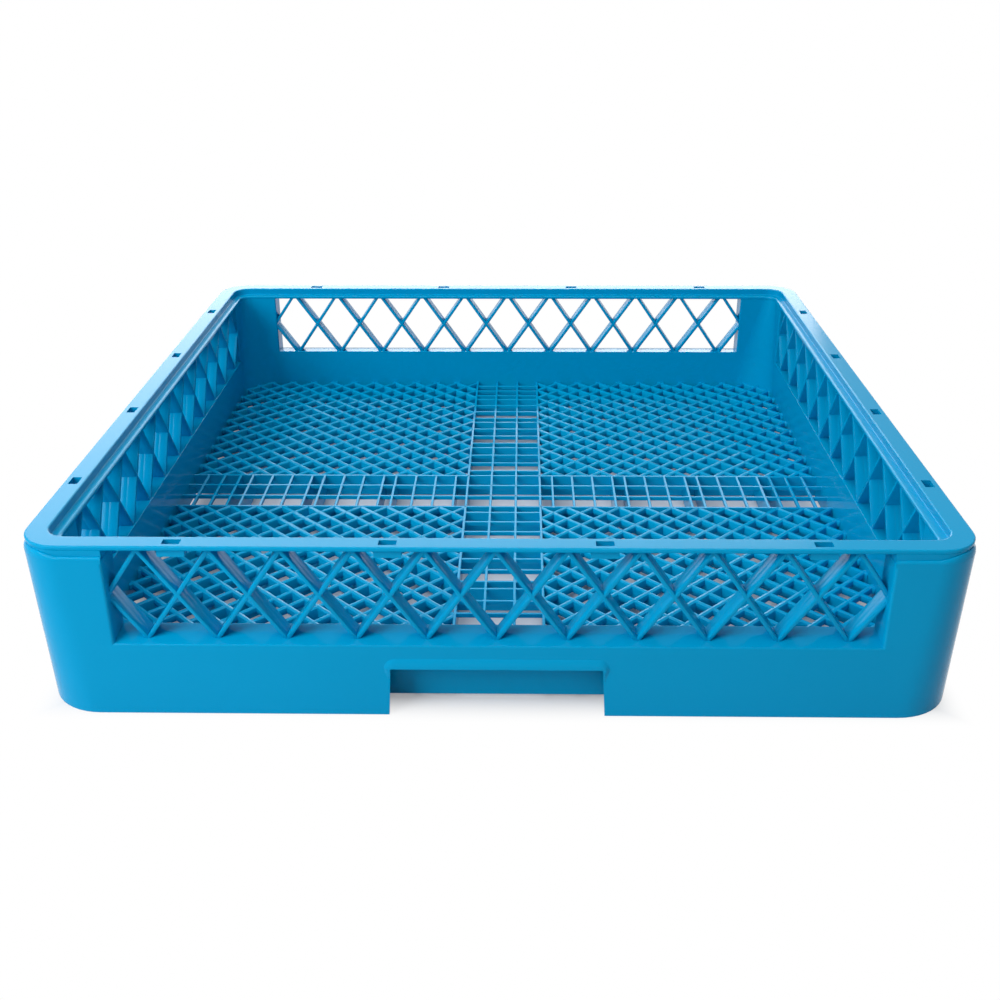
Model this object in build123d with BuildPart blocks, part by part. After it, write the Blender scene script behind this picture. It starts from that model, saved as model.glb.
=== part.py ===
from build123d import *
import os
from math import atan2, degrees, hypot, sqrt

# A full-size dishwasher rack for cutlery, injection moulded in one piece.
# Millimetres, +Z up, origin at the centre of the underside, all four sides alike.
# Insets are measured inwards from the outer face of a wall.

# Overall size
rack_width = 500.0
rack_height = 102.0
corner_radius = 28.0
inner_corner_radius = 22.0

# Double wall: an outer skirt and an inner wall, open below and joined by a sill
wall = 2.6
wall_depth = 18.5
sill_height = 45.0

# Rim: a flange on a web, set back to leave a stacking shoulder outside and a ledge inside
rim_inset = 2.0
rim_width = 10.0
rim_thickness = 2.5
rim_web = 1.8
shoulder_drop = 6.0
shoulder_bevel = 1.4
ledge_drop = 6.5
ledge_thickness = 2.4

# Window in each wall, crossed by diagonal ribs
window_width = 406.0
lattice_bays = 11
lattice_rib = 2.3
lattice_recess = 5.0
lattice_depth = 12.5

# Slotted pockets under the rim, one above every third crossing of the ribs
slot_count = 4
slot_bays = 3
slot_length = 10.0
slot_width = 5.4
slot_inset = 7.2
pocket_wall = 2.5
pocket_drop = 6.8

# Hand notch in the middle of each skirt, under a lip
notch_width = 113.4
notch_height = 29.5
notch_flare = 1.8
notch_corner = 2.0
lip_height = 5.8
lip_overlap = 4.0
lip_leg = 5.0
lip_proud = 1.4
lip_bevel = 1.1

# Base: a diagonal mesh on deep webs, quartered by a cross of straight ribs
base_top = 18.5
base_bottom = 3.0
strand = 2.0
strand_depth = 2.6
mesh_cells = 7
web_every = 2
cross_near = 9.0
cross_far = 26.4
cross_rib = 1.8
bar_gap = 9.2
bar_bay = 44.4
bar_bays = 4

# Small overlap that lets joined features grow into each other
bite = 0.8

# Derived places
half = rack_width / 2
inner_width = rack_width - 2 * wall_depth
rim_outer = rack_width - 2 * rim_inset
rim_inner = rim_outer - 2 * rim_width
rim_corner = corner_radius - rim_inset
rim_inner_corner = rim_corner - rim_width
web_inset = rim_inset + rim_width - rim_web
shoulder_z = rack_height - shoulder_drop
ledge_z = rack_height - ledge_drop
ledge_under = ledge_z - ledge_thickness
rim_under = rack_height - rim_thickness
lattice_pitch = window_width / lattice_bays
slot_pitch = slot_bays * lattice_pitch
base_width = inner_width + wall
mesh_reach = inner_width / 2 - cross_far
mesh_centre = cross_far + mesh_reach / 2
mesh_width = base_width / 2 - cross_far
strand_pitch = mesh_reach / mesh_cells / sqrt(2)
strand_count = 2 * mesh_cells - 1
layer_z = base_top - strand_depth


def square_frame(outer, outer_corner, inner, inner_corner):
    """Draws a square frame with rounded corners in the sketch that is open."""
    RectangleRounded(outer, outer, outer_corner)
    RectangleRounded(inner, inner, inner_corner, mode=Mode.SUBTRACT)


def channel_frame():
    """Draws the hollow between the skirt and the inner wall in the sketch that is open."""
    square_frame(
        rack_width - 2 * wall, corner_radius - wall, inner_width + 2 * wall, inner_corner_radius + wall
    )


def clip_to_quarter():
    """Trims the sketch that is open to one quarter of the base."""
    with Locations((cross_far, cross_far)):
        Rectangle(mesh_width, mesh_width, align=(Align.MIN, Align.MIN), mode=Mode.INTERSECT)
    RectangleRounded(base_width, base_width, inner_corner_radius + wall / 2, mode=Mode.INTERSECT)


def ray_strands(pitch, count):
    """Draws strands along the diagonal of one quarter, the middle one on the diagonal itself."""
    with Locations(Location((mesh_centre, mesh_centre), 45)):
        with GridLocations(0, pitch, 1, count):
            Rectangle(2 * mesh_reach, strand)
    clip_to_quarter()


def ring_strands(pitch, count):
    """Draws strands across the diagonal of one quarter, counted from the middle of the base."""
    with Locations(Location((cross_far, cross_far), 45)):
        with Locations((pitch, 0)):
            with GridLocations(pitch, 0, count, 1, align=(Align.MIN, Align.CENTER)):
                Rectangle(strand, 2 * mesh_reach)
    clip_to_quarter()


def cross_ribs(offset):
    """Draws the ribs of the base's cross at one distance from its middle in the sketch that is open."""
    for turn in (0, 90):
        with Locations(Location((0, 0), turn)):
            with GridLocations(2 * offset, 0, 2, 1):
                Rectangle(cross_rib, base_width)


def cross_bars():
    """Draws pairs of bars across the four arms of the base's cross in the sketch that is open."""
    with PolarLocations(0, 4):
        with Locations((cross_far + bar_gap / 2 + (bar_bays - 1) * (bar_gap + bar_bay) / 2, 0)):
            with GridLocations(bar_gap + bar_bay, 0, bar_bays, 1):
                with GridLocations(bar_gap, 0, 2, 1):
                    Rectangle(cross_rib, 2 * cross_far)


# Opening of one window: below the rim's flange outside, below the ledge inside
with BuildPart() as window:
    with BuildSketch(Plane.YZ):
        with BuildLine():
            Polyline(
                (-half - wall, sill_height),
                (-half + wall_depth + wall, sill_height),
                (-half + wall_depth + wall, ledge_under),
                (-half + web_inset, ledge_under),
                (-half + web_inset, rim_under),
                (-half - wall, rim_under),
                close=True,
            )
        make_face()
    extrude(amount=window_width / 2, both=True)

# Ribs of one window, clipped to grow into the sill, the jambs and the rim
lattice_rise = rim_under - sill_height
lattice_plane = Plane(
    origin=(0, lattice_recess - half, (rim_under + sill_height) / 2), x_dir=(1, 0, 0), z_dir=(0, -1, 0)
)
with BuildPart() as lattice:
    with BuildSketch(lattice_plane):
        rib_turn = degrees(atan2(lattice_rise, lattice_pitch))
        rib_length = 1.2 * hypot(lattice_rise, lattice_pitch)
        for turn in (rib_turn, -rib_turn):
            with GridLocations(lattice_pitch, 0, lattice_bays + 1, 1):
                Rectangle(rib_length, lattice_rib, rotation=turn)
        Rectangle(window_width + 2 * bite, lattice_rise + 2 * bite, mode=Mode.INTERSECT)
    extrude(amount=-lattice_depth)

# Pockets of one side, hanging from the flange and backed by the rim's web
pocket_inset = slot_inset - slot_width / 2 - pocket_wall / 2
with BuildPart() as pockets:
    with BuildSketch(Plane.XY.offset(rack_height - pocket_drop)):
        with Locations((0, (pocket_inset + web_inset) / 2 - half)):
            with GridLocations(slot_pitch, 0, slot_count, 1):
                Rectangle(slot_length + 2 * pocket_wall, web_inset - pocket_inset + bite)
    extrude(amount=pocket_drop - rim_thickness + bite)

# Slots of one side, right through the flange and the pockets
with BuildPart() as slots:
    with BuildSketch(Plane.XY.offset(rack_height - 2 * pocket_drop)):
        with Locations((0, slot_inset - half)):
            with GridLocations(slot_pitch, 0, slot_count, 1):
                Rectangle(slot_length, slot_width)
    extrude(amount=3 * pocket_drop)

# Notch of one side, through the skirt alone
with BuildPart() as notch:
    with BuildSketch(Plane.XZ.offset(half + lip_proud + wall)) as notch_outline:
        with BuildLine():
            Polyline(
                (-notch_width / 2 - notch_flare, 0),
                (-notch_width / 2, notch_height),
                (notch_width / 2, notch_height),
                (notch_width / 2 + notch_flare, 0),
                close=True,
            )
        make_face()
        fillet(notch_outline.vertices().group_by(Axis.Y)[-1], radius=notch_corner)
    extrude(amount=-lip_proud - 3 * wall)

# Lip over one notch, bevelled above
with BuildPart() as lip:
    lip_width = notch_width + 2 * lip_overlap
    with BuildSketch(Plane.XZ.offset(half - bite)) as lip_outline:
        with Locations((0, notch_height + (lip_height - lip_leg) / 2)):
            Rectangle(lip_width, lip_height + lip_leg)
        fillet(lip_outline.vertices().group_by(Axis.Y)[-1], radius=lip_height)
    extrude(amount=lip_proud + bite)
    lip_front = lip.faces().sort_by(Axis.Y)[0]
    chamfer(lip_front.edges().sort_by(Axis.Z)[1:], length=lip_bevel)

# Mesh of one quarter: rays above, rings below, and some rings deepened into webs
with BuildPart() as mesh_quarter:
    with BuildSketch(Plane.XY.offset(layer_z)):
        ray_strands(strand_pitch, strand_count)
    extrude(amount=strand_depth)
    with BuildSketch(Plane.XY.offset(layer_z)):
        ring_strands(strand_pitch, strand_count)
    extrude(amount=-strand_depth)
    with BuildSketch(Plane.XY.offset(layer_z)):
        ring_strands(web_every * strand_pitch, strand_count // web_every)
    extrude(amount=base_bottom - layer_z)

with BuildPart() as cross:
    # Outer ribs of the cross and its bars
    with BuildSketch(Plane.XY.offset(base_bottom)):
        cross_ribs(cross_far)
        cross_bars()
    extrude(amount=base_top - base_bottom)
    # Shallow ribs along the middle of the cross
    with BuildSketch(Plane.XY.offset(layer_z)):
        cross_ribs(cross_near)
    extrude(amount=strand_depth)

with BuildPart() as rack:
    # Outer form: walls up to the shoulder, then the rim
    with BuildSketch():
        RectangleRounded(rack_width, rack_width, corner_radius)
    extrude(amount=shoulder_z)
    chamfer(rack.faces().sort_by(Axis.Z)[-1].edges(), length=shoulder_bevel)
    with BuildSketch(Plane.XY.offset(shoulder_z - shoulder_bevel)):
        RectangleRounded(rim_outer, rim_outer, rim_corner)
    extrude(amount=shoulder_drop + shoulder_bevel)
    # Space inside
    with BuildSketch():
        RectangleRounded(inner_width, inner_width, inner_corner_radius)
    extrude(amount=rack_height, mode=Mode.SUBTRACT)
    # Channel under the sill, and the hollow posts above it at the corners
    with BuildSketch():
        channel_frame()
    extrude(amount=sill_height - wall, mode=Mode.SUBTRACT)
    with BuildSketch(Plane.XY.offset(sill_height - wall)):
        channel_frame()
        Rectangle(rack_width, window_width + 2 * wall, mode=Mode.SUBTRACT)
        Rectangle(window_width + 2 * wall, rack_width, mode=Mode.SUBTRACT)
    extrude(amount=ledge_under - sill_height + wall, mode=Mode.SUBTRACT)
    # Groove under the rim
    with BuildSketch(Plane.XY.offset(ledge_under)):
        square_frame(
            rim_outer - 2 * rim_web,
            rim_corner - rim_web,
            rim_inner + 2 * rim_web,
            rim_inner_corner + rim_web,
        )
    extrude(amount=rim_under - ledge_under, mode=Mode.SUBTRACT)
    # Windows and their ribs, then the pockets with their slots
    with PolarLocations(0, 4):
        add(window.part, mode=Mode.SUBTRACT)
    with PolarLocations(0, 4):
        add(lattice.part)
    with PolarLocations(0, 4):
        add(pockets.part)
    with PolarLocations(0, 4):
        add(slots.part, mode=Mode.SUBTRACT)
    # Step down from the rim to the inner ledge
    with BuildSketch(Plane.XY.offset(ledge_z)):
        RectangleRounded(rim_inner, rim_inner, rim_inner_corner)
    extrude(amount=ledge_drop, mode=Mode.SUBTRACT)
    # The inner wall ends above the skirt's lower edge
    with BuildSketch():
        RectangleRounded(rack_width - 2 * wall, rack_width - 2 * wall, corner_radius - wall)
    extrude(amount=base_bottom, mode=Mode.SUBTRACT)
    # Lips and notches
    with PolarLocations(0, 4):
        add(lip.part)
    with PolarLocations(0, 4):
        add(notch.part, mode=Mode.SUBTRACT)
    # Base
    add(cross.part)
    with PolarLocations(0, 4):
        add(mesh_quarter.part)

rack.part.label = "rack"
os.makedirs("parts", exist_ok=True)
export_step(rack.part, "parts/rack.step")
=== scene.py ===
import logging
import math
from dataclasses import dataclass
from enum import Enum
from typing import Sequence

import bmesh
import bpy
from mathutils import Matrix, Vector


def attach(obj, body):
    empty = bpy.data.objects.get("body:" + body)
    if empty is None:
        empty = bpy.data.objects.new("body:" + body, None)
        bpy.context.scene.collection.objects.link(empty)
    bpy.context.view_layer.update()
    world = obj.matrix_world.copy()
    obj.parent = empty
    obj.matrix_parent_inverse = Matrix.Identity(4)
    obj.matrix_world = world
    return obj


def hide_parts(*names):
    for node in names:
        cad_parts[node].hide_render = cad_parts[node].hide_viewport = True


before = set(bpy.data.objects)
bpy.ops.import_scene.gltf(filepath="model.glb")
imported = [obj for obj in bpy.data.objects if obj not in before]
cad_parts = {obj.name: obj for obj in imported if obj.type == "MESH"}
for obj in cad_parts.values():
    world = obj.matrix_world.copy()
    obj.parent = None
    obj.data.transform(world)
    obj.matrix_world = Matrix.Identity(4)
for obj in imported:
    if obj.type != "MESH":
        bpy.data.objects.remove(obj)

LOG = logging.getLogger("cutlery_rack")
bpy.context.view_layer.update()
MM = 0.001
BODY = "root"
NODE = "rack"
WHITE = (1.0, 1.0, 1.0, 1.0)
SHARP_ANGLE = math.radians(32)
BEVEL_ANGLE = math.radians(40)

Point = tuple[float, float, float]
Flat = tuple[float, float]
Colour = tuple[float, float, float, float]


class Slope(Enum):
    """The two ways in which a diagonal rib or strand can lean."""

    RISING = 1
    FALLING = -1


@dataclass(frozen=True)
class RackSize:
    """Driving sizes of the rack in millimetres; insets run inwards from a wall's outer face."""

    width: float = 500.0
    height: float = 102.0
    corner_foot: float = 33.5
    corner_top: float = 23.0
    inner_corner_foot: float = 36.0
    inner_corner_top: float = 7.0
    wall: float = 2.6
    depth: float = 18.5
    sill: float = 45.0
    window: float = 406.0
    rim_inset: float = 1.7
    rim_width: float = 11.4
    rim_thickness: float = 2.5
    rim_web: float = 1.8
    shoulder_drop: float = 6.0
    ledge_drop: float = 5.0
    ledge_thickness: float = 2.4
    base_top: float = 18.5
    base_bottom: float = 3.0
    cross_half: float = 26.4

    @property
    def half(self) -> float:
        """Half the outer width."""
        return self.width / 2

    @property
    def inner_half(self) -> float:
        """Half the width inside the inner wall."""
        return self.half - self.depth

    @property
    def rim_under(self) -> float:
        """Height of the underside of the rim's flange."""
        return self.height - self.rim_thickness

    @property
    def shoulder(self) -> float:
        """Height of the stacking shoulder outside the rim."""
        return self.height - self.shoulder_drop

    @property
    def ledge(self) -> float:
        """Height of the ledge inside the rim."""
        return self.height - self.ledge_drop

    @property
    def ledge_under(self) -> float:
        """Height of the underside of the inner ledge."""
        return self.ledge - self.ledge_thickness

    @property
    def rim_inner(self) -> float:
        """Inset of the rim's inner face."""
        return self.rim_inset + self.rim_width

    def corner_at(self, inset: float, height: float) -> float:
        """Corner radius in plan of a wall face; the corners get tighter towards the top.

        Args:
            inset: Distance of the face from the outer face.
            height: Height above the lower edge of the skirt.

        Returns:
            The radius, run linearly between the faces whose radius is known.
        """
        up = height / self.height
        outer = self.corner_foot + up * (self.corner_top - self.corner_foot)
        inner = self.inner_corner_foot + up * (self.inner_corner_top - self.inner_corner_foot)
        knots = (
            (0.0, outer),
            (self.wall, outer - self.wall),
            (self.depth - self.wall, inner + self.wall),
            (self.depth, inner),
        )
        for (low, low_radius), (high, high_radius) in zip(knots, knots[1:]):
            if inset <= high:
                share = (inset - low) / (high - low)
                return low_radius + share * (high_radius - low_radius)
        return inner


def turned(point: Point, quarter: int) -> Point:
    """Turns a point about the vertical axis.

    Args:
        point: The point.
        quarter: Number of quarter turns.

    Returns:
        The turned point.
    """
    x, y, z = point
    for _ in range(quarter % 4):
        x, y = -y, x
    return (x, y, z)


def eased(share: float) -> float:
    """Runs from 0 to 1 with a level start and end."""
    return share * share * (3 - 2 * share)


def rounded_outline(
    corners: Sequence[tuple[float, float, float]], steps: int = 4, margin: float = 0.3
) -> list[Flat]:
    """Rounds the corners of a closed outline.

    Args:
        corners: Corner points as (first, second, radius); a radius of 0 leaves a corner sharp.
        steps: Straight pieces in each rounding.
        margin: Distance from a rounding to the extra point that keeps the straight beyond it flat.

    Returns:
        The points of the rounded outline.
    """
    outline: list[Flat] = []
    count = len(corners)
    points = [Vector(corner[:2]) for corner in corners]
    backs = [(points[index - 1] - points[index]).normalized() for index in range(count)]
    aheads = [-backs[(index + 1) % count] for index in range(count)]
    halves = [back.angle(ahead) / 2 for back, ahead in zip(backs, aheads)]
    reaches = [corner[2] / math.tan(half) for corner, half in zip(corners, halves)]
    spans = [(points[index - 1] - points[index]).length for index in range(count)]
    room = [spans[index] - reaches[index - 1] - reaches[index] for index in range(count)]
    for index, (a, b, radius) in enumerate(corners):
        if radius <= 0:
            outline.append((a, b))
            continue
        here, back, ahead, reach = points[index], backs[index], aheads[index], reaches[index]
        middle = here + (back + ahead).normalized() * (radius / math.sin(halves[index]))
        start = here + back * reach - middle
        sweep = start.angle_signed(here + ahead * reach - middle)
        if room[index] > 2 * margin:
            outline.append(tuple(here + back * (reach + margin)))
        for step in range(steps + 1):
            turn = -sweep * step / steps
            spun = Vector((
                start.x * math.cos(turn) - start.y * math.sin(turn),
                start.x * math.sin(turn) + start.y * math.cos(turn),
            ))
            outline.append(tuple(middle + spun))
        if room[(index + 1) % count] > 2 * margin:
            outline.append(tuple(here + ahead * (reach + margin)))
    return outline


class Shape:
    """Points and faces of one piece, gathered in millimetres."""

    def __init__(self) -> None:
        """Starts with no points."""
        self.points: list[Point] = []
        self.faces: list[list[int]] = []

    def add_loft(self, loops: Sequence[Sequence[Point]], closed: bool) -> None:
        """Joins a row of closed loops of equal length by quads.

        Args:
            loops: The loops, in order.
            closed: True if the last loop joins the first; otherwise both ends are capped.
        """
        first = len(self.points)
        size = len(loops[0])
        for loop in loops:
            self.points.extend(loop)
        pairs = len(loops) if closed else len(loops) - 1
        for row in range(pairs):
            here = first + row * size
            there = first + ((row + 1) % len(loops)) * size
            for column in range(size):
                after = (column + 1) % size
                self.faces.append([here + column, here + after, there + after, there + column])
        if not closed:
            last = first + (len(loops) - 1) * size
            self.faces.append([first + column for column in reversed(range(size))])
            self.faces.append([last + column for column in range(size)])

    def add_prism(self, outline: Sequence[Flat], low: float, high: float, quarter: int = 0) -> None:
        """Stands a plan outline up between two heights.

        Args:
            outline: Closed outline in plan.
            low: Lower height.
            high: Upper height.
            quarter: Quarter turns about the vertical axis.
        """
        loops = [[turned((x, y, z), quarter) for x, y in outline] for z in (low, high)]
        self.add_loft(loops, closed=False)

    def add_box(self, low: Point, high: Point, quarter: int = 0) -> None:
        """Adds a box between two corners, turned about the vertical axis by quarter turns."""
        outline = ((low[0], low[1]), (high[0], low[1]), (high[0], high[1]), (low[0], high[1]))
        self.add_prism(outline, low[2], high[2], quarter)

    def to_object(self, name: str) -> bpy.types.Object:
        """Makes a mesh object in metres, with its faces turned outwards.

        Args:
            name: Name of the object and its mesh.

        Returns:
            The new object, linked to the scene.
        """
        mesh = bpy.data.meshes.new(name)
        scaled = [tuple(value * MM for value in point) for point in self.points]
        mesh.from_pydata(scaled, [], self.faces)
        work = bmesh.new()
        work.from_mesh(mesh)
        bmesh.ops.recalc_face_normals(work, faces=work.faces)
        work.to_mesh(mesh)
        work.free()
        piece = bpy.data.objects.new(name, mesh)
        bpy.context.scene.collection.objects.link(piece)
        return piece


class WallPath:
    """The way round the rounded square that the walls follow."""

    def __init__(self, size: RackSize, steps: int = 12) -> None:
        """Keeps the sizes and the number of straight pieces in a corner."""
        self.size = size
        self.steps = steps

    def corner_stations(self, inset: float, height: float, quarter: int) -> list[Flat]:
        """Points of one corner's arc.

        Args:
            inset: Distance of the face from the outer face.
            height: Height at which the arc is taken.
            quarter: Quarter turns from the front right corner.

        Returns:
            The points in plan, from one end of the arc to the other.
        """
        radius = self.size.corner_at(inset, height)
        centre = self.size.half - inset - radius
        stations: list[Flat] = []
        for step in range(self.steps + 1):
            angle = math.pi / 2 * (step / self.steps - 1)
            place = (centre + radius * math.cos(angle), -centre + radius * math.sin(angle), 0.0)
            stations.append(turned(place, quarter)[:2])
        return stations

    def ring(self, profile: Sequence[Flat]) -> list[list[Point]]:
        """Loops of a profile carried all the way round.

        Args:
            profile: Closed profile as (inset, height).

        Returns:
            One loop for each station of the path.
        """
        columns = [
            [(x, y, z) for quarter in range(4) for x, y in self.corner_stations(inset, z, quarter)]
            for inset, z in profile
        ]
        return [list(loop) for loop in zip(*columns)]

    def corner(self, profile: Sequence[Flat], edge: float, quarter: int) -> list[list[Point]]:
        """Loops of a profile carried round one corner, between the windows on both sides.

        Args:
            profile: Closed profile as (inset, height).
            edge: Distance of the ends from the middle of their sides.
            quarter: Quarter turns from the front right corner.

        Returns:
            One loop for each station of the path.
        """
        columns = []
        for inset, z in profile:
            face = self.size.half - inset
            way = [(edge, -face)] + self.corner_stations(inset, z, 0) + [(face, -edge)]
            columns.append([turned((x, y, z), quarter) for x, y in way])
        return [list(loop) for loop in zip(*columns)]

    def post_outline(
        self, skin: float, height: float, outer_round: float = 0.0, inner_round: float = 0.0
    ) -> list[Flat]:
        """Plan outline of the front right post.

        Args:
            skin: Distance of the outline inside the post's faces.
            height: Height at which the outline is taken.
            outer_round: Rounding of the window edges outside.
            inner_round: Rounding of the window edges inside.

        Returns:
            The closed outline.
        """
        size = self.size
        edge = size.window / 2 + skin
        outer = size.half - skin
        inner = size.inner_half + skin
        corners = [(edge, -outer, outer_round)]
        corners += [(x, y, 0.0) for x, y in self.corner_stations(skin, height, 0)]
        corners += [(outer, -edge, outer_round), (inner, -edge, inner_round)]
        inner_arc = self.corner_stations(size.depth - skin, height, 0)
        corners += [(x, y, 0.0) for x, y in reversed(inner_arc)]
        corners += [(edge, -inner, inner_round)]
        return rounded_outline(corners)


class TreeBuilder:
    """A Geometry Nodes tree under construction, with named inputs."""

    def __init__(self, name: str) -> None:
        """Makes an empty tree with a geometry output."""
        self.tree = bpy.data.node_groups.new(name, "GeometryNodeTree")
        self.tree.interface.new_socket("Geometry", in_out="INPUT", socket_type="NodeSocketGeometry")
        self.tree.interface.new_socket("Geometry", in_out="OUTPUT", socket_type="NodeSocketGeometry")
        self.entry = self.tree.nodes.new("NodeGroupInput")
        self.exit = self.tree.nodes.new("NodeGroupOutput")

    def size(self, name: str) -> bpy.types.NodeSocket:
        """Adds a named size input and returns its socket in the tree."""
        self.tree.interface.new_socket(name, in_out="INPUT", socket_type="NodeSocketFloat")
        return self.entry.outputs[name]

    def count(self, name: str, value: int) -> bpy.types.NodeSocket:
        """Adds a named whole-number input with its default value and returns its socket in the tree."""
        socket = self.tree.interface.new_socket(name, in_out="INPUT", socket_type="NodeSocketInt")
        socket.default_value = value
        return self.entry.outputs[name]

    def node(self, kind: str, **inputs: object) -> bpy.types.Node:
        """Adds a node and feeds its inputs.

        Args:
            kind: Blender's name for the node type.
            **inputs: Sockets or plain values by input name, spaces written as underscores.

        Returns:
            The new node.
        """
        made = self.tree.nodes.new(kind)
        for name, value in inputs.items():
            self.feed(made.inputs[name.replace("_", " ")], value)
        return made

    def feed(self, target: bpy.types.NodeSocket, value: object) -> None:
        """Links a socket to an input, or sets the input to a plain value."""
        if isinstance(value, bpy.types.NodeSocket):
            self.tree.links.new(value, target)
        else:
            target.default_value = value

    def math(self, operation: str, first: object, second: object = 0.0) -> bpy.types.NodeSocket:
        """Adds a Math node and returns its result."""
        made = self.tree.nodes.new("ShaderNodeMath")
        made.operation = operation
        self.feed(made.inputs[0], first)
        self.feed(made.inputs[1], second)
        return made.outputs[0]

    def half(self, value: object) -> bpy.types.NodeSocket:
        """Adds a Math node that halves a value and returns its result."""
        return self.math("MULTIPLY", value, 0.5)

    def vector(self, x: object = 0.0, y: object = 0.0, z: object = 0.0) -> bpy.types.NodeSocket:
        """Adds a Combine XYZ node and returns its vector."""
        return self.node("ShaderNodeCombineXYZ", X=x, Y=y, Z=z).outputs[0]

    def row(self, count: object, start: object, step: object) -> bpy.types.NodeSocket:
        """Adds a straight row of points from a start vector by a step vector."""
        line = self.node("GeometryNodeMeshLine", Count=count, Start_Location=start, Offset=step)
        return line.outputs["Mesh"]

    def join(self, *parts: bpy.types.NodeSocket) -> bpy.types.NodeSocket:
        """Joins geometry and returns it."""
        made = self.tree.nodes.new("GeometryNodeJoinGeometry")
        for part in parts:
            self.tree.links.new(part, made.inputs["Geometry"])
        return made.outputs["Geometry"]

    def boxes(
        self, points: bpy.types.NodeSocket, scale: bpy.types.NodeSocket, turn: float = 0.0
    ) -> bpy.types.NodeSocket:
        """Puts a box on each point.

        Args:
            points: The points.
            scale: Length, width and height of the boxes.
            turn: Turn about the vertical axis, in degrees.

        Returns:
            The instances.
        """
        cube = self.node("GeometryNodeMeshCube", Size=(1.0, 1.0, 1.0)).outputs["Mesh"]
        made = self.node("GeometryNodeInstanceOnPoints", Points=points, Instance=cube, Scale=scale)
        made.inputs["Rotation"].default_value = (0.0, 0.0, math.radians(turn))
        return made.outputs["Instances"]

    def four_sides(self, geometry: bpy.types.NodeSocket) -> bpy.types.NodeSocket:
        """Repeats geometry at four quarter turns about the vertical axis."""
        points = self.row(4, (0.0, 0.0, 0.0), (0.0, 0.0, 0.0))
        index = self.node("GeometryNodeInputIndex").outputs["Index"]
        turn = self.vector(z=self.math("MULTIPLY", index, math.pi / 2))
        rotation = self.node("FunctionNodeEulerToRotation", Euler=turn).outputs["Rotation"]
        made = self.node(
            "GeometryNodeInstanceOnPoints", Points=points, Instance=geometry, Rotation=rotation
        )
        return made.outputs["Instances"]

    def finish(self, geometry: bpy.types.NodeSocket, material: bpy.types.Material) -> None:
        """Ends the tree in Realize Instances and Set Material."""
        real = self.node("GeometryNodeRealizeInstances", Geometry=geometry).outputs["Geometry"]
        dressed = self.node("GeometryNodeSetMaterial", Geometry=real, Material=material)
        self.tree.links.new(dressed.outputs["Geometry"], self.exit.inputs["Geometry"])

    def grow(self, piece: bpy.types.Object, sizes: dict[str, float]) -> None:
        """Runs the tree on an object and keeps the result as its plain mesh.

        Args:
            piece: The object whose mesh goes in.
            sizes: Values for the named inputs.
        """
        modifier = piece.modifiers.new(self.tree.name, "NODES")
        modifier.node_group = self.tree
        for item in self.tree.interface.items_tree:
            if item.in_out == "INPUT" and item.name in sizes:
                modifier[item.identifier] = sizes[item.name]
        settle(piece)


def settle(piece: bpy.types.Object) -> None:
    """Turns an object with its modifiers into a plain mesh, and removes the modifiers."""
    graph = bpy.context.evaluated_depsgraph_get()
    mesh = bpy.data.meshes.new_from_object(piece.evaluated_get(graph), depsgraph=graph)
    piece.modifiers.clear()
    old = piece.data
    piece.data = mesh
    mesh.name = piece.name
    bpy.data.meshes.remove(old)


def soften(piece: bpy.types.Object, width: float, segments: int = 2) -> None:
    """Rounds the sharp edges of a piece a little.

    Args:
        piece: The object.
        width: Width of the rounding in millimetres.
        segments: Faces across the rounding.
    """
    bevel = piece.modifiers.new("Edge rounding", "BEVEL")
    bevel.width = width * MM
    bevel.segments = segments
    bevel.limit_method = "ANGLE"
    bevel.angle_limit = BEVEL_ANGLE
    settle(piece)


def cut(piece: bpy.types.Object, cutter: bpy.types.Object) -> None:
    """Cuts one object out of another and removes the cutter."""
    boolean = piece.modifiers.new("Cut", "BOOLEAN")
    boolean.operation = "DIFFERENCE"
    boolean.solver = "EXACT"
    boolean.object = cutter
    settle(piece)
    old = cutter.data
    bpy.data.objects.remove(cutter)
    bpy.data.meshes.remove(old)


def background_rays(tree: bpy.types.NodeTree) -> bpy.types.NodeSocket:
    """Tells the rays that show the background, straight or in gloss or glass.

    Args:
        tree: Node tree of a material or a world.

    Returns:
        A socket that is 1 for such rays and 0 for the rays that carry light.
    """
    light_path = tree.nodes.new("ShaderNodeLightPath")
    seen = light_path.outputs["Is Camera Ray"]
    for name in ("Is Glossy Ray", "Is Transmission Ray"):
        either = tree.nodes.new("ShaderNodeMath")
        either.operation = "MAXIMUM"
        tree.links.new(seen, either.inputs[0])
        tree.links.new(light_path.outputs[name], either.inputs[1])
        seen = either.outputs["Value"]
    return seen


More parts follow.
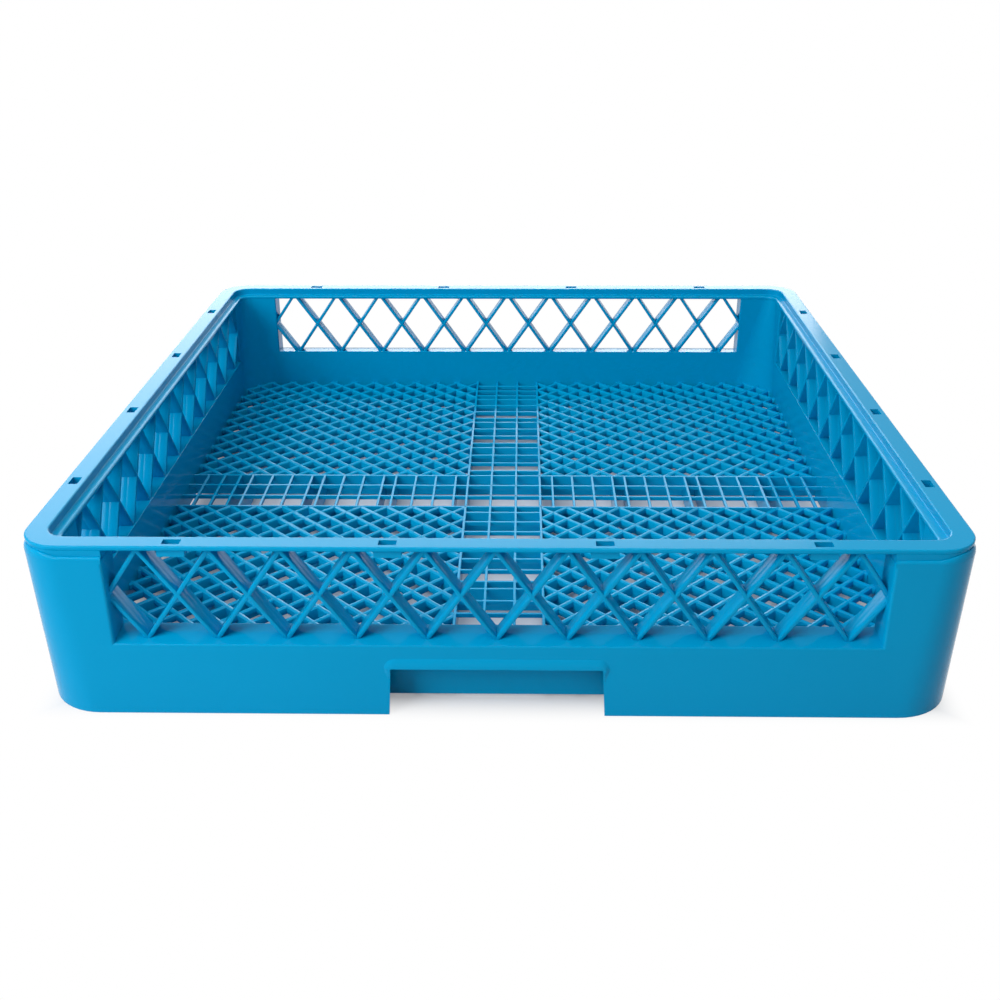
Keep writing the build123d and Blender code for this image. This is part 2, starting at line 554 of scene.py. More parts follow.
@dataclass(frozen=True)
class PlasticFinish:
    """Blue moulded plastic with a soft gloss."""

    name: str = "Blue moulded plastic"
    colour: Colour = (0.0, 0.308, 0.575, 1.0)
    deep_colour: Colour = (0.0, 0.29, 0.545, 1.0)
    roughness: float = 0.13
    ior: float = 1.49
    specular: float = 0.06
    grain_scale: float = 9.0
    grain_detail: float = 3.0

    def build(self) -> bpy.types.Material:
        """Makes the material and returns it."""
        material = bpy.data.materials.new(self.name)
        material.use_nodes = True
        nodes = material.node_tree.nodes
        links = material.node_tree.links
        shader = nodes["Principled BSDF"]
        shader.inputs["Roughness"].default_value = self.roughness
        shader.inputs["IOR"].default_value = self.ior
        shader.inputs["Specular IOR Level"].default_value = self.specular
        coordinates = nodes.new("ShaderNodeTexCoord")
        cloud = nodes.new("ShaderNodeTexNoise")
        cloud.inputs["Scale"].default_value = self.grain_scale
        cloud.inputs["Detail"].default_value = self.grain_detail
        links.new(coordinates.outputs["Object"], cloud.inputs["Vector"])
        blend = nodes.new("ShaderNodeMix")
        blend.data_type = "RGBA"
        blend.inputs["A"].default_value = self.deep_colour
        blend.inputs["B"].default_value = self.colour
        links.new(cloud.outputs["Fac"], blend.inputs["Factor"])
        links.new(blend.outputs["Result"], shader.inputs["Base Color"])
        return material


@dataclass(frozen=True)
class FloorFinish:
    """Pale studio floor that keeps the shadow under and close beside the rack and is white further out.

    The shadow's limits are distances from the middle in metres.
    """

    name: str = "Pale floor"
    colour: Colour = (0.68, 0.69, 0.72, 1.0)
    roughness: float = 0.9
    specular: float = 0.1
    shadow_from: float = 0.218
    shadow_to: float = 0.258

    def build(self) -> bpy.types.Material:
        """Makes the material and returns it."""
        material = bpy.data.materials.new(self.name)
        material.use_nodes = True
        nodes = material.node_tree.nodes
        links = material.node_tree.links
        shader = nodes["Principled BSDF"]
        shader.inputs["Base Color"].default_value = self.colour
        shader.inputs["Roughness"].default_value = self.roughness
        shader.inputs["Specular IOR Level"].default_value = self.specular
        coordinates = nodes.new("ShaderNodeTexCoord")
        size = nodes.new("ShaderNodeVectorMath")
        size.operation = "ABSOLUTE"
        links.new(coordinates.outputs["Object"], size.inputs[0])
        split = nodes.new("ShaderNodeSeparateXYZ")
        links.new(size.outputs["Vector"], split.inputs["Vector"])
        wider = nodes.new("ShaderNodeMath")
        wider.operation = "MAXIMUM"
        links.new(split.outputs["X"], wider.inputs[0])
        links.new(split.outputs["Y"], wider.inputs[1])
        fade = nodes.new("ShaderNodeMapRange")
        fade.interpolation_type = "SMOOTHSTEP"
        fade.inputs["From Min"].default_value = self.shadow_from
        fade.inputs["From Max"].default_value = self.shadow_to
        links.new(wider.outputs["Value"], fade.inputs["Value"])
        share = nodes.new("ShaderNodeMath")
        share.operation = "MULTIPLY"
        links.new(fade.outputs["Result"], share.inputs[0])
        links.new(background_rays(material.node_tree), share.inputs[1])
        white = nodes.new("ShaderNodeEmission")
        white.inputs["Color"].default_value = WHITE
        white.inputs["Strength"].default_value = 1.0
        blend = nodes.new("ShaderNodeMixShader")
        links.new(share.outputs["Value"], blend.inputs["Fac"])
        links.new(shader.outputs["BSDF"], blend.inputs[1])
        links.new(white.outputs["Emission"], blend.inputs[2])
        links.new(blend.outputs["Shader"], nodes["Material Output"].inputs["Surface"])
        return material


class Piece:
    """A finished object of the rack and the calls that hand it to the frame."""

    def __init__(self, piece: bpy.types.Object, material: bpy.types.Material) -> None:
        """Keeps the object and its material."""
        self.piece = piece
        self.material = material

    def dress(self, replaces_node: bool = False) -> None:
        """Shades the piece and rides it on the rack's body.

        Args:
            replaces_node: True for the piece that stands for the CAD node.
        """
        mesh = self.piece.data
        mesh.materials.clear()
        mesh.materials.append(self.material)
        for face in mesh.polygons:
            face.material_index = 0
            face.use_smooth = True
        mesh.set_sharp_from_angle(angle=SHARP_ANGLE)
        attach(self.piece, BODY)
        if replaces_node:
            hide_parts(NODE)
        LOG.info("%s: %d faces", self.piece.name, len(mesh.polygons))


@dataclass
class DoubleWall:
    """Lower wall all round: the skirt, the sill and the inner wall, with a hand notch in each side."""

    size: RackSize
    path: WallPath
    material: bpy.types.Material
    edge_round: float = 0.6
    sill_round: float = 1.0
    sill_inner_round: float = 0.25
    sill_fall: float = 0.8
    sill_rise: float = 1.5
    crown: float = 10.0
    crown_rise: float = 1.15
    crown_round: float = 16.0
    notch_width: float = 113.4
    notch_height: float = 30.3
    notch_flare: float = 1.8
    notch_round: float = 0.8
    notch_cut: float = 7.8
    hollow_drop: float = 5.2
    clear: float = 6.0

    def profile(self) -> list[Flat]:
        """Section through the wall as a closed outline of (inset, height)."""
        size = self.size
        under = size.sill - size.wall
        inner = size.depth - size.wall
        return rounded_outline([
            (0.0, 0.0, self.edge_round),
            (0.0, size.sill - self.sill_fall, self.sill_round),
            (self.crown, size.sill + self.crown_rise, self.crown_round),
            (size.depth, size.sill + self.sill_rise, self.sill_inner_round),
            (size.depth, size.base_bottom, self.edge_round),
            (inner, size.base_bottom, self.edge_round),
            (inner, under, self.sill_round),
            (size.wall, under, self.sill_round),
            (size.wall, 0.0, self.edge_round),
        ])

    def notch_outline(self) -> list[Flat]:
        """Notch seen from the front, as a closed outline of (across, height)."""
        half = self.notch_width / 2
        foot = half + self.notch_flare * (1 + self.clear / self.notch_height)
        return rounded_outline([
            (-foot, -self.clear, 0.0),
            (-half, self.notch_height, self.notch_round),
            (half, self.notch_height, self.notch_round),
            (foot, -self.clear, 0.0),
        ])

    def build(self) -> None:
        """Makes the wall, cuts the notches and the post hollows, and dresses it."""
        size = self.size
        shape = Shape()
        shape.add_loft(self.path.ring(self.profile()), closed=True)
        wall = shape.to_object("double_wall")
        cutter = Shape()
        outline = self.notch_outline()
        depths = (-size.half - self.clear, -size.half + self.notch_cut)
        for quarter in range(4):
            loops = [[turned((x, y, z), quarter) for x, z in outline] for y in depths]
            cutter.add_loft(loops, closed=False)
            hollow = self.path.post_outline(size.wall, size.sill)
            cutter.add_prism(hollow, size.sill - self.hollow_drop, size.sill + self.clear, quarter)
        cut(wall, cutter.to_object("notch_cutter"))
        Piece(wall, self.material).dress(replaces_node=True)


@dataclass
class NotchLips:
    """Raised lips over the hand notches, which fade out down their sides."""

    size: RackSize
    wall: DoubleWall
    material: bpy.types.Material
    height: float = 5.8
    side_width: float = 3.6
    proud: float = 1.4
    crest_share: float = 0.5
    leg: float = 7.0
    leg_rise: float = 0.8
    foot_share: float = 0.35
    outer_lead: float = 1.2
    outer_round: float = 6.5
    arc_steps: int = 10

    def stations(self) -> list[tuple[Flat, Flat, float]]:
        """Points along the left half of a lip.

        Returns:
            For each station the point on the notch's edge, the point on the lip's outer boundary and
            the share of the full height that the lip has there.
        """
        half = self.wall.notch_width / 2
        top = self.wall.notch_height
        inner_round = self.wall.notch_round
        outer_half = half + self.side_width
        outer_top = top + self.height
        row = []
        for step in range(self.arc_steps):
            share = step / self.arc_steps
            z = top - inner_round - self.leg * (1 - share)
            flare = self.wall.notch_flare * (1 - z / top)
            edge = half + flare
            side = self.side_width * (self.foot_share + (1 - self.foot_share) * share)
            outer = (-edge - side, z + share * self.outer_lead)
            row.append(((-edge, z), outer, self.leg_rise * eased(share)))
        for step in range(self.arc_steps + 1):
            angle = math.pi / 2 * step / self.arc_steps
            inner = (
                -half + inner_round - inner_round * math.cos(angle),
                top - inner_round + inner_round * math.sin(angle),
            )
            outer = (
                -outer_half + self.outer_round - self.outer_round * math.cos(angle),
                outer_top - self.outer_round + self.outer_round * math.sin(angle),
            )
            row.append((inner, outer, self.leg_rise + (1 - self.leg_rise) * step / self.arc_steps))
        return row

    def build(self) -> None:
        """Makes the four lips and dresses them."""
        left = self.stations()
        right = [((-a[0], a[1]), (-b[0], b[1]), rise) for a, b, rise in reversed(left)]
        face = -self.size.half
        shape = Shape()
        for quarter in range(4):
            loops = []
            for inner, outer, rise in left + right:
                proud = self.proud * rise
                crest = [outer[k] + (inner[k] - outer[k]) * self.crest_share for k in (0, 1)]
                section = (
                    (outer[0], face + self.size.wall / 2, outer[1]),
                    (outer[0], face, outer[1]),
                    (crest[0], face - proud, crest[1]),
                    (inner[0], face - proud, inner[1]),
                    (inner[0], face + self.size.wall / 2, inner[1]),
                )
                loops.append([turned(point, quarter) for point in section])
            shape.add_loft(loops, closed=False)
        Piece(shape.to_object("notch_lips"), self.material).dress()


@dataclass
class CornerPosts:
    """Hollow posts that carry the rim at the corners, with the stacking shoulder on top."""

    size: RackSize
    path: WallPath
    material: bpy.types.Material
    outer_round: float = 1.6
    inner_round: float = 1.0
    shoulder_round: float = 1.5
    root_round: float = 0.15
    shoulder_step: float = 0.3
    shoulder_foot: float = 2.0
    shoulder_lift: float = 2.7
    lift_run: float = 0.8
    head_lap: float = 0.3
    head_step: float = 0.1
    seat: float = 1.62
    proud: float = 0.05

    def lifted(self, loops: list[list[Point]]) -> list[list[Point]]:
        """Raises the shoulder's top where it goes round the corner.

        Args:
            loops: Sections of a shoulder from one window to the next.

        Returns:
            The sections, unchanged at both ends and higher towards the middle.
        """
        foot = self.size.shoulder - self.shoulder_round
        last = len(loops) - 1
        raised = []
        for index, loop in enumerate(loops):
            share = min(1.0, 2 * min(index, last - index) / last / self.lift_run)
            lift = self.shoulder_lift * eased(share) / self.shoulder_round
            raised.append([
                (x, y, z + lift * (z - foot) if foot < z <= self.size.shoulder else z)
                for x, y, z in loop
            ])
        return raised

    def build(self) -> None:
        """Makes the posts and their shoulders and dresses them."""
        self.build_posts()
        self.build_shoulders()

    def build_posts(self) -> None:
        """Makes the hollow posts and dresses them."""
        size = self.size
        low = size.sill - self.seat
        high = size.ledge_under
        posts = Shape()
        cutter = Shape()
        for quarter in range(4):
            skin = []
            hollow = []
            for level in (low, high):
                outline = self.path.post_outline(-self.proud, level, self.outer_round, self.inner_round)
                skin.append([turned((x, y, level), quarter) for x, y in outline])
                inside = self.path.post_outline(size.wall, level)
                hollow.append([turned((x, y, level - size.wall), quarter) for x, y in inside])
            posts.add_loft(skin, closed=False)
            cutter.add_loft(hollow, closed=False)
        piece = posts.to_object("corner_posts")
        cut(piece, cutter.to_object("post_cutter"))
        Piece(piece, self.material).dress()

    def build_shoulders(self) -> None:
        """Makes the shoulders, and the heads that close the posts under the flange, and dresses them."""
        size = self.size
        high = size.ledge_under
        rim_back = size.rim_inset + size.rim_web
        profile = rounded_outline([
            (0.0, high - self.shoulder_foot, 0.0),
            (0.0, size.shoulder, self.shoulder_round),
            (size.rim_inset, size.shoulder, self.root_round),
            (size.rim_inset, size.rim_under, 0.0),
            (rim_back, size.rim_under, 0.0),
            (rim_back, high - self.shoulder_foot, 0.0),
        ])
        head_front = rim_back - self.head_lap
        head_back = size.rim_inner - self.head_lap
        head = [
            (head_front, high - self.head_lap),
            (head_front, size.rim_under + self.head_lap),
            (head_back, size.rim_under + self.head_lap),
            (head_back, high - self.head_lap),
        ]
        edge = size.window / 2
        shoulders = Shape()
        for quarter in range(4):
            loops = self.path.corner(profile, edge + self.shoulder_step, quarter)
            shoulders.add_loft(self.lifted(loops), closed=False)
            loops = self.path.corner(head, edge + self.head_step, quarter)
            shoulders.add_loft(loops, closed=False)
        Piece(shoulders.to_object("shoulders"), self.material).dress()


@dataclass
class Rim:
    """Flange, web and inner ledge all round, with slotted pockets above the crossings of the ribs."""

    size: RackSize
    path: WallPath
    material: bpy.types.Material
    overhang: float = 0.4
    lip: float = 1.9
    top_round: float = 0.8
    ledge_round: float = 1.0
    ledge_foot_round: float = 0.4
    slots: int = 4
    slot_pitch: float = 111.75
    slot_length: float = 9.4
    slot_width: float = 5.4
    slot_inset: float = 7.2
    cutter_height: float = 20.0
    pocket_wall: float = 2.5
    pocket_front: float = 1.2
    pocket_drop: float = 6.8

    def profile(self) -> list[Flat]:
        """Section through the rim as a closed outline of (inset, height)."""
        size = self.size
        web = size.rim_inner - size.rim_web
        return rounded_outline([
            (size.rim_inset, size.rim_under, 0.0),
            (size.rim_inset - self.overhang, size.height - self.lip, 0.0),
            (size.rim_inset - self.overhang, size.height, self.top_round),
            (size.rim_inner, size.height, self.top_round),
            (size.rim_inner, size.ledge, self.ledge_foot_round),
            (size.depth, size.ledge, self.ledge_round),
            (size.depth, size.ledge_under, self.ledge_foot_round),
            (web, size.ledge_under, 0.0),
            (web, size.rim_under, 0.0),
        ])

    def slot_tree(self) -> TreeBuilder:
        """Tree that cuts rows of slots in the four sides of the rim."""
        tree = TreeBuilder("Rim slots")
        count = tree.count("Slots", self.slots)
        pitch = tree.size("Pitch")
        length = tree.size("Length")
        width = tree.size("Width")
        place = tree.size("Place")
        level = tree.size("Level")
        steps = tree.math("SUBTRACT", count, 1.0)
        first = tree.math("MULTIPLY", tree.math("MULTIPLY", pitch, steps), -0.5)
        start = tree.vector(first, place, level)
        points = tree.row(count, start, tree.vector(pitch))
        boxes = tree.boxes(points, tree.vector(length, width, self.cutter_height * MM))
        cutters = tree.node("GeometryNodeRealizeInstances", Geometry=tree.four_sides(boxes))
        boolean = tree.node("GeometryNodeMeshBoolean")
        boolean.operation = "DIFFERENCE"
        boolean.solver = "EXACT"
        tree.feed(boolean.inputs["Mesh 1"], tree.entry.outputs["Geometry"])
        tree.feed(boolean.inputs["Mesh 2"], cutters.outputs["Geometry"])
        tree.finish(boolean.outputs["Mesh"], self.material)
        return tree

    def build(self) -> None:
        """Makes the rim and its pockets and dresses them."""
        size = self.size
        shape = Shape()
        shape.add_loft(self.path.ring(self.profile()), closed=True)
        rim = shape.to_object("rim")
        self.slot_tree().grow(rim, {
            "Slots": self.slots,
            "Pitch": self.slot_pitch * MM,
            "Length": self.slot_length * MM,
            "Width": self.slot_width * MM,
            "Place": (self.slot_inset - size.half) * MM,
            "Level": size.height * MM,
        })
        Piece(rim, self.material).dress()
        self.build_pockets()

    def build_pockets(self) -> None:
        """Makes the open pockets under the slots and dresses them."""
        size = self.size
        low = size.height - self.pocket_drop
        high = size.rim_under
        half = self.slot_length / 2
        mouth = self.slot_inset - self.slot_width / 2 - size.half
        rear = self.slot_inset + self.slot_width / 2 - size.half
        front = mouth - self.pocket_front
        back = size.rim_inner - size.rim_web - size.half
        shape = Shape()
        for quarter in range(4):
            for index in range(self.slots):
                middle = (index - (self.slots - 1) / 2) * self.slot_pitch
                left = middle - half - self.pocket_wall
                right = middle + half + self.pocket_wall
                shape.add_box((left, front, low), (right, mouth, high), quarter)
                shape.add_box((middle - half, rear, low), (middle + half, back, high), quarter)
                for near, far in ((left, middle - half), (middle + half, right)):
                    shape.add_box((near, mouth, low), (far, back, high), quarter)
        Piece(shape.to_object("slot_pockets"), self.material).dress()


@dataclass
class WindowLattice:
    """Diagonal ribs across the window in each wall."""

    size: RackSize
    material: bpy.types.Material
    bays: int = 11
    pitch: float = 37.25
    rib: float = 2.5
    recess: float = 5.0
    depth: float = 12.5
    foot_drop: float = 0.5
    head_drop: float = 1.5
    bite: float = 2.5
    layer: float = 0.08
    edge_round: float = 0.85

    def tree(self) -> TreeBuilder:
        """Tree that stands rows of plates up, leans them both ways and repeats them on the four sides."""
        tree = TreeBuilder("Window ribs")
        bays = tree.count("Bays", self.bays)
        pitch = tree.size("Pitch")
        rib = tree.size("Rib")
        low = tree.size("Low")
        high = tree.size("High")
        front_face = tree.size("Front")
        step = tree.size("Step")
        back_face = tree.size("Back")
        back_high = tree.size("Back high")
        bite = tree.size("Bite")
        layer = tree.size("Layer")
        middle = tree.half(tree.math("ADD", low, high))
        lean = tree.math("DIVIDE", pitch, tree.math("SUBTRACT", high, low))
        slant = tree.math("SQRT", tree.math("ADD", tree.math("MULTIPLY", lean, lean), 1.0))
        width = tree.math("MULTIPLY", rib, slant)
        parts = []
        for slope in Slope:
            plates = []
            inwards = tree.math("MULTIPLY", layer, 1.0 if slope is Slope.RISING else 0.0)
            front = tree.math("ADD", front_face, inwards)
            behind = tree.math("ADD", front, layer)
            back = tree.math("SUBTRACT", back_face, inwards)
            slimmer = tree.math("SUBTRACT", width, layer)
            layers = (
                (front, step, width, tree.math("ADD", high, bite)),
                (behind, back, slimmer, back_high),
            )
            for near, far, thick, top in layers:
                plates += self.plates(tree, slope, bays, pitch, thick, middle, low, bite, near, far, top)
            joined = tree.join(*plates)
            real = tree.node("GeometryNodeRealizeInstances", Geometry=joined).outputs["Geometry"]
            position = tree.node("GeometryNodeInputPosition").outputs["Position"]
            height = tree.node("ShaderNodeSeparateXYZ", Vector=position).outputs["Z"]
            rise = tree.math("SUBTRACT", height, middle)
            shift = tree.math("MULTIPLY", tree.math("MULTIPLY", rise, lean), float(slope.value))
            leaned = tree.node("GeometryNodeSetPosition", Geometry=real, Offset=tree.vector(shift))
            parts.append(leaned.outputs["Geometry"])
        tree.finish(tree.four_sides(tree.join(*parts)), self.material)
        return tree

    def plates(
        self,
        tree: TreeBuilder,
        slope: Slope,
        bays: bpy.types.NodeSocket,
        pitch: bpy.types.NodeSocket,
        width: bpy.types.NodeSocket,
        middle: bpy.types.NodeSocket,
        low: bpy.types.NodeSocket,
        bite: bpy.types.NodeSocket,
        front: bpy.types.NodeSocket,
        back: bpy.types.NodeSocket,
        top: bpy.types.NodeSocket,
    ) -> list[bpy.types.NodeSocket]:
        """Upright plates of one layer before they lean: whole ones, and a half one at each jamb.

        Args:
            tree: The tree.
            slope: The way in which the plates will lean.
            bays: Number of bays in a window.
            pitch: Width of a bay.
            width: Width of a plate along the wall.
            middle: Height of the crossings.
            low: Height of the sill.
            bite: Overlap into the sill.
            front: Front of the layer.
            back: Back of the layer.
            top: Top of the layer.

        Returns:
            The instances.
        """
        bottom = tree.math("SUBTRACT", low, bite)
        depth = tree.math("SUBTRACT", back, front)
        place = tree.half(tree.math("ADD", front, back))
        half_window = tree.half(tree.math("MULTIPLY", bays, pitch))
        first = tree.math("SUBTRACT", pitch, half_window)
        whole = tree.math("SUBTRACT", bays, 1.0)
        spans = (
            (whole, first, bottom, top),
            (1, tree.math("MULTIPLY", half_window, -float(slope.value)), middle, top),
            (1, tree.math("MULTIPLY", half_window, float(slope.value)), bottom, middle),
        )
        made = []
        for count, start, base, head in spans:
            centre = tree.half(tree.math("ADD", base, head))
            points = tree.row(count, tree.vector(start, place, centre), tree.vector(pitch))
            scale = tree.vector(width, depth, tree.math("SUBTRACT", head, base))
            made.append(tree.boxes(points, scale))
        return made

    def build(self) -> None:
        """Makes the ribs of the four windows and dresses them."""
        size = self.size
        piece = Shape().to_object("window_ribs")
        self.tree().grow(piece, {
            "Bays": self.bays,
            "Pitch": self.pitch * MM,
            "Rib": self.rib * MM,
            "Low": (size.sill - self.foot_drop) * MM,
            "High": (size.rim_under - self.head_drop) * MM,
            "Front": (self.recess - size.half) * MM,
            "Step": (size.rim_inner - size.rim_web / 2 - size.half) * MM,
            "Back": (self.recess + self.depth - size.half) * MM,
            "Back high": (size.ledge - size.ledge_thickness / 2) * MM,
            "Bite": self.bite * MM,
            "Layer": self.layer * MM,
        })
        soften(piece, self.edge_round)
        Piece(piece, self.material).dress()


@dataclass
class BaseMesh:
    """Diagonal strands in the four quarters of the base; every third one is a deep web."""

    size: RackSize
    material: bpy.types.Material
    cells: int = 11
    period: float = 18.46
    strand: float = 4.2
    shallow: float = 5.0
    webs_every: int = 3
    reach: float = 206.0
    corner_cut: float = 9.0
    layer: float = 0.06
    edge_round: float = 1.9

    def tree(self) -> TreeBuilder:
        """Tree that lays both sets of strands in one quarter and repeats them in the four quarters."""
        tree = TreeBuilder("Base strands")
        cells = tree.count("Cells", self.cells)
        period = tree.size("Period")
        strand = tree.size("Strand")
        shallow = tree.size("Shallow")
        deep = tree.size("Deep")
        every = tree.count("Webs every", self.webs_every)
        start = tree.size("Start")
        reach = tree.size("Reach")
        corner_cut = tree.size("Corner cut")
        top = tree.size("Top")
        layer = tree.size("Layer")
        index = tree.node("GeometryNodeInputIndex").outputs["Index"]
        count = tree.math("SUBTRACT", tree.math("MULTIPLY", cells, 2.0), 1.0)
        root_two = math.sqrt(2.0)
        families = []
        for slope in Slope:
            points = tree.row(count, (0.0, 0.0, 0.0), (0.0, 0.0, 0.0))
            if slope is Slope.RISING:
                order = tree.math("SUBTRACT", tree.math("ADD", index, 1.0), cells)
                offset = tree.math("MULTIPLY", order, period)
                is_middle = tree.math("COMPARE", order, 0.0)
                trim = tree.math("MULTIPLY", is_middle, corner_cut)
                length = tree.math("SUBTRACT", reach, tree.math("ABSOLUTE", offset))
                back = tree.math("MULTIPLY", trim, 0.5 / root_two)
                across = tree.math("SUBTRACT", tree.half(tree.math("ADD", reach, offset)), back)
                along = tree.math("SUBTRACT", tree.half(tree.math("SUBTRACT", reach, offset)), back)
                surface = tree.math("SUBTRACT", top, layer)
            else:
                order = tree.math("ADD", index, 1.0)
                offset = tree.math("MULTIPLY", order, period)
                trim = 0.0
                length = tree.math(
                    "SUBTRACT", reach, tree.math("ABSOLUTE", tree.math("SUBTRACT", offset, reach))
                )
                across = tree.half(offset)
                along = across
                surface = top
            left_over = tree.math("FLOORED_MODULO", order, every)
            is_web = tree.math("LESS_THAN", left_over, 0.5)
            more = tree.math("MULTIPLY", is_web, tree.math("SUBTRACT", deep, shallow))
            depth = tree.math("ADD", shallow, more)
            centre = tree.math("SUBTRACT", surface, tree.half(depth))
            place = tree.vector(tree.math("ADD", across, start), tree.math("ADD", along, start), centre)
            placed = tree.node("GeometryNodeSetPosition", Geometry=points, Position=place)
            span = tree.math("SUBTRACT", tree.math("MULTIPLY", length, root_two), trim)
            scale = tree.vector(span, strand, depth)
            families.append(tree.boxes(placed.outputs["Geometry"], scale, 45.0 * slope.value))
        tree.finish(tree.four_sides(tree.join(*families)), self.material)
        return tree

    def build(self) -> None:
        """Makes the strands and dresses them."""
        size = self.size
        piece = Shape().to_object("base_strands")
        self.tree().grow(piece, {
            "Cells": self.cells,
            "Period": self.period * MM,
            "Strand": self.strand * MM,
            "Shallow": self.shallow * MM,
            "Deep": (size.base_top - size.base_bottom) * MM,
            "Webs every": self.webs_every,
            "Start": size.cross_half * MM,
            "Reach": self.reach * MM,
            "Corner cut": self.corner_cut * MM,
            "Top": size.base_top * MM,
            "Layer": self.layer * MM,
        })
        soften(piece, self.edge_round)
        Piece(piece, self.material).dress()


@dataclass
class BaseCross:
    """Cross of straight ribs through the base, with bars across its arms.

    The drops keep the tops of crossing ribs a hair apart, so that no two faces coincide.
    """

    size: RackSize
    material: bpy.types.Material
    near: float = 9.0
    rib: float = 1.8
    shallow: float = 2.9
    bar_gap: float = 9.2
    bar_bay: float = 44.4
    bays: int = 4
    bars_in_bay: int = 2
    bite: float = 0.9
    far_drop: float = 0.06
    near_drop: float = 0.09
    bar_drop: float = 0.12
    edge_round: float = 0.3

    def tree(self) -> TreeBuilder:
        """Tree that lays one arm's ribs and bars and repeats them on the four sides."""
        tree = TreeBuilder("Base cross")
        near = tree.size("Near")
        far = tree.size("Far")
        rib = tree.size("Rib")
        shallow = tree.size("Shallow")
        deep = tree.size("Deep")
        gap = tree.size("Gap")
        bay = tree.size("Bay")
        bays = tree.count("Bays", self.bays)
        end = tree.size("End")
        top = tree.size("Top")
        near_drop = tree.size("Near drop")
        far_drop = tree.size("Far drop")
        bar_drop = tree.size("Bar drop")
        step = tree.math("ADD", gap, bay)
        parts = []
        for place, depth, drop in ((near, shallow, near_drop), (far, deep, far_drop)):
            surface = tree.math("SUBTRACT", top, drop)
            centre = tree.math("SUBTRACT", surface, tree.half(depth))
            point = tree.row(1, tree.vector(place, 0.0, centre), (0.0, 0.0, 0.0))
            parts.append(tree.boxes(point, tree.vector(rib, tree.math("MULTIPLY", end, 2.0), depth)))
        last = tree.math("MULTIPLY", step, tree.math("SUBTRACT", bays, 1.0))
        last_bar = tree.math("ADD", tree.math("ADD", far, gap), last)
        last_third = tree.math("DIVIDE", tree.math("SUBTRACT", end, last_bar), self.bars_in_bay + 1.0)
        third = tree.math("DIVIDE", bay, self.bars_in_bay + 1.0)
        rows = [
            (tree.math("SUBTRACT", bays, 1.0), tree.math("ADD", far, step), step, deep),
            (bays, tree.math("ADD", far, gap), step, deep),
            (self.bars_in_bay, tree.math("ADD", last_bar, last_third), last_third, shallow),
        ]
        for order in range(self.bars_in_bay):
            lead = tree.math("ADD", gap, tree.math("MULTIPLY", third, order + 1.0))
            rows.append((tree.math("SUBTRACT", bays, 1.0), tree.math("ADD", far, lead), step, shallow))
        surface = tree.math("SUBTRACT", top, bar_drop)
        for count, start, pitch, depth in rows:
            centre = tree.math("SUBTRACT", surface, tree.half(depth))
            points = tree.row(count, tree.vector(start, 0.0, centre), tree.vector(pitch))
            parts.append(tree.boxes(points, tree.vector(rib, tree.math("MULTIPLY", far, 2.0), depth)))
        tree.finish(tree.four_sides(tree.join(*parts)), self.material)
        return tree

    def build(self) -> None:
        """Makes the cross and dresses it."""
        size = self.size
        piece = Shape().to_object("base_cross")
        self.tree().grow(piece, {
            "Near": self.near * MM,
            "Far": size.cross_half * MM,
            "Rib": self.rib * MM,
            "Shallow": self.shallow * MM,
            "Deep": (size.base_top - size.base_bottom) * MM,
            "Gap": self.bar_gap * MM,
            "Bay": self.bar_bay * MM,
            "Bays": self.bays,
            "End": (size.inner_half + self.bite) * MM,
            "Top": size.base_top * MM,
            "Near drop": self.near_drop * MM,
            "Far drop": self.far_drop * MM,
            "Bar drop": self.bar_drop * MM,
        })
        soften(piece, self.edge_round, segments=1)
        Piece(piece, self.material).dress()


@dataclass(frozen=True)
class Lamp:
    """Soft lamp with a flat face; lengths are in metres, and a radiance of 1 is white."""

    name: str
    place: Point
    face: Flat
    radiance: float

    def build(self, aim: Point) -> None:
        """Hangs the lamp.

        Args:
            aim: The point that it faces, in metres.
        """
        data = bpy.data.lights.new(self.name, "AREA")
        data.shape = "RECTANGLE"
        data.size, data.size_y = self.face
        data.energy = self.radiance * math.pi * self.face[0] * self.face[1]
        lamp = bpy.data.objects.new(self.name, data)
        lamp.location = self.place
        lamp.rotation_euler = (Vector(aim) - Vector(self.place)).to_track_quat("-Z", "Y").to_euler()
        lamp.visible_camera = False
        bpy.context.scene.collection.objects.link(lamp)


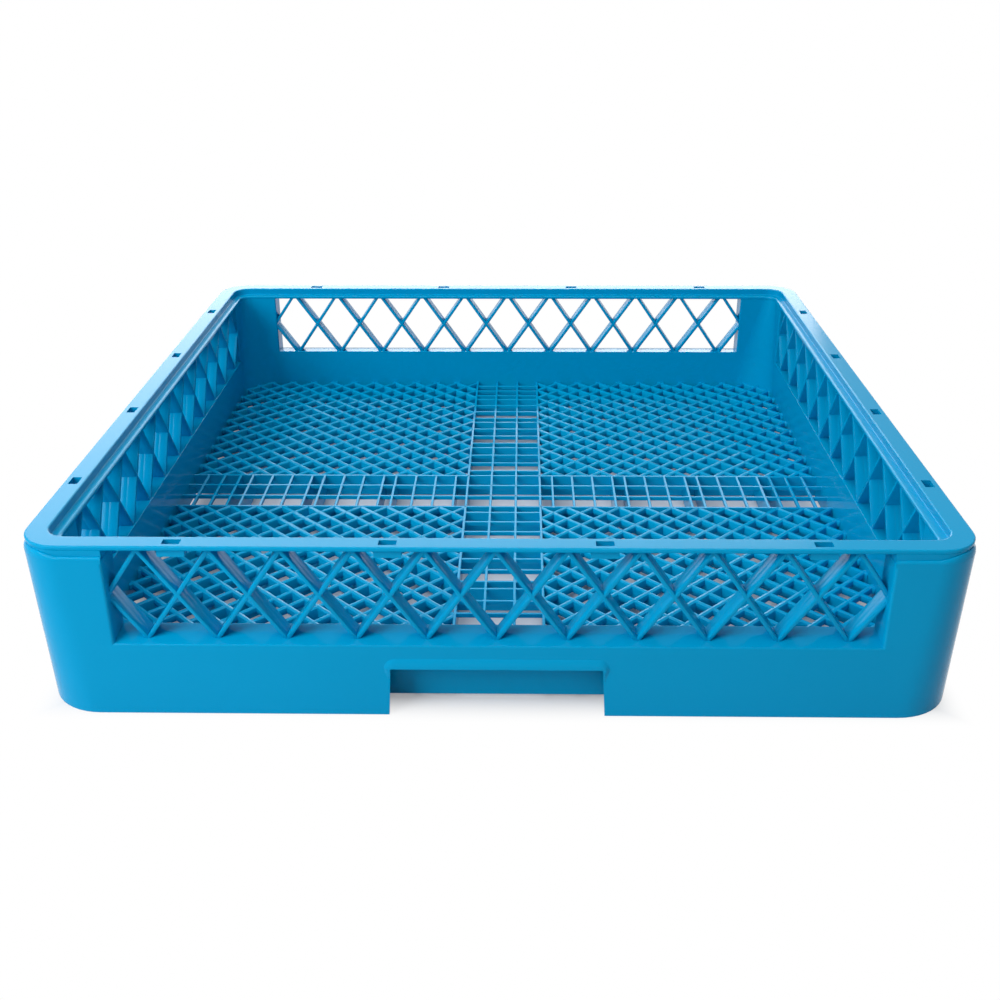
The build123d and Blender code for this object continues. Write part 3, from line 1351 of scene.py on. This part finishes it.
@dataclass
class Studio:
    """Floor, light and camera; the camera's place is in millimetres and its turns in degrees."""

    floor_reach: float = 6.0
    camera_place: Point = (12.7, -790.4, 387.4)
    camera_yaw: float = 1.11
    camera_pitch: float = 25.47
    camera_roll: float = -0.25
    lens: float = 43.32
    sensor: float = 36.0
    world_strength: float = 0.13
    aim: Point = (0.0, 0.0, 0.05)
    lamps: tuple[Lamp, ...] = (
        Lamp("key", (-1.0, -0.98, 0.85), (0.9, 0.8), 7.8),
        Lamp("top", (-0.3, -0.3, 2.0), (2.2, 2.2), 2.1),
        Lamp("back", (-0.35, 2.6, 1.1), (2.6, 1.0), 4.5),
        Lamp("backdrop", (0.0, 3.0, 0.42), (6.0, 0.8), 2.4),
    )

    def build_floor(self) -> None:
        """Lays the floor."""
        reach = self.floor_reach
        mesh = bpy.data.meshes.new("floor")
        corners = ((-reach, -reach, 0.0), (reach, -reach, 0.0), (reach, reach, 0.0), (-reach, reach, 0.0))
        mesh.from_pydata(corners, [], [(0, 1, 2, 3)])
        mesh.materials.append(FloorFinish().build())
        floor = bpy.data.objects.new("floor", mesh)
        bpy.context.scene.collection.objects.link(floor)

    def build_world(self) -> None:
        """Lights the scene from all round and shows white to the camera and in reflections."""
        world = bpy.data.worlds.new("Studio")
        bpy.context.scene.world = world
        world.use_nodes = True
        nodes = world.node_tree.nodes
        links = world.node_tree.links
        around = nodes["Background"]
        around.inputs["Color"].default_value = WHITE
        around.inputs["Strength"].default_value = self.world_strength
        seen = nodes.new("ShaderNodeBackground")
        seen.inputs["Color"].default_value = WHITE
        seen.inputs["Strength"].default_value = 1.0
        choose = nodes.new("ShaderNodeMixShader")
        links.new(background_rays(world.node_tree), choose.inputs["Fac"])
        links.new(around.outputs["Background"], choose.inputs[1])
        links.new(seen.outputs["Background"], choose.inputs[2])
        links.new(choose.outputs["Shader"], nodes["World Output"].inputs["Surface"])

    def build_camera(self) -> None:
        """Sets the camera at the photograph's viewing angle."""
        yaw = math.radians(self.camera_yaw)
        pitch = math.radians(self.camera_pitch)
        roll = math.radians(self.camera_roll)
        flat_right = Vector((math.cos(yaw), math.sin(yaw), 0.0))
        flat_ahead = Vector((-math.sin(yaw), math.cos(yaw), 0.0))
        up = Vector((0.0, 0.0, 1.0))
        ahead = flat_ahead * math.cos(pitch) - up * math.sin(pitch)
        level_up = flat_ahead * math.sin(pitch) + up * math.cos(pitch)
        right = flat_right * math.cos(roll) + level_up * math.sin(roll)
        above = level_up * math.cos(roll) - flat_right * math.sin(roll)
        data = bpy.data.cameras.new("camera")
        data.lens = self.lens
        data.sensor_width = self.sensor
        camera = bpy.data.objects.new("camera", data)
        turn = Matrix((right, above, -ahead)).transposed()
        place = Vector(self.camera_place) * MM
        camera.matrix_world = Matrix.Translation(place) @ turn.to_4x4()
        bpy.context.scene.collection.objects.link(camera)
        bpy.context.scene.camera = camera

    def build(self) -> None:
        """Builds the whole studio."""
        self.build_floor()
        self.build_world()
        for lamp in self.lamps:
            lamp.build(self.aim)
        self.build_camera()
        bpy.context.scene.view_settings.view_transform = "Standard"


def main() -> None:
    """Builds the rack and the studio."""
    logging.basicConfig(level=logging.INFO, format="%(name)s %(message)s")
    size = RackSize()
    path = WallPath(size)
    plastic = PlasticFinish().build()
    wall = DoubleWall(size, path, plastic)
    wall.build()
    NotchLips(size, wall, plastic).build()
    CornerPosts(size, path, plastic).build()
    Rim(size, path, plastic).build()
    WindowLattice(size, plastic).build()
    BaseMesh(size, plastic).build()
    BaseCross(size, plastic).build()
    Studio().build()


if __name__ == "__main__":
    main()
